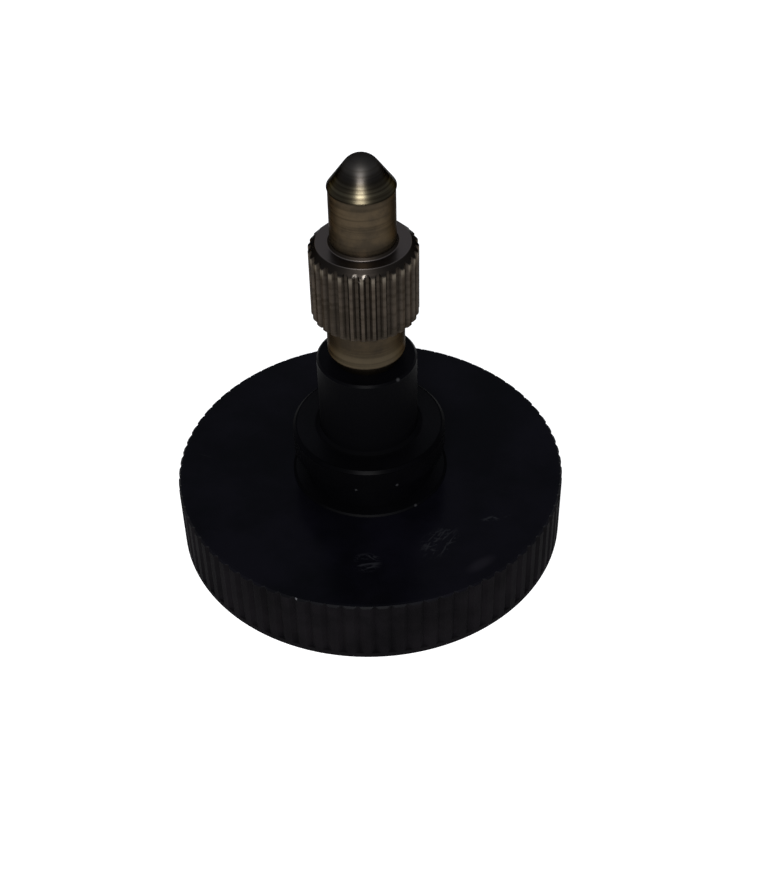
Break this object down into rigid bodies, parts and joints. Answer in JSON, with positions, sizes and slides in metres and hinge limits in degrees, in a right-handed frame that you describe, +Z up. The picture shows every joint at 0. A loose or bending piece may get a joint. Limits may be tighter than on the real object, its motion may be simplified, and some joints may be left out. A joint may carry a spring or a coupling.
{
  "type": "router knob",
  "caption": "Ribbed round grip disc with a stepped hub that holds a turned brass spindle with a knurled collar, a plain pilot and a rounded conical nose.",
  "frame": {"origin": "centre of the flat underside of the grip disc", "axes": "+Z up the axis of the spindle, towards the nose; X and Y lie in the plane of the disc"},
  "size_m": [0.05, 0.05, 0.0558],
  "materials": {
    "knob": "glossy black moulding with light scuffs on the disc and a duller ribbed rim",
    "spindle": "dull aged brass with fine turning lines and a brighter nose"
  },
  "bodies": {
    "root": {"knob": "knob", "spindle": "spindle"}
  },
  "joints": []
}
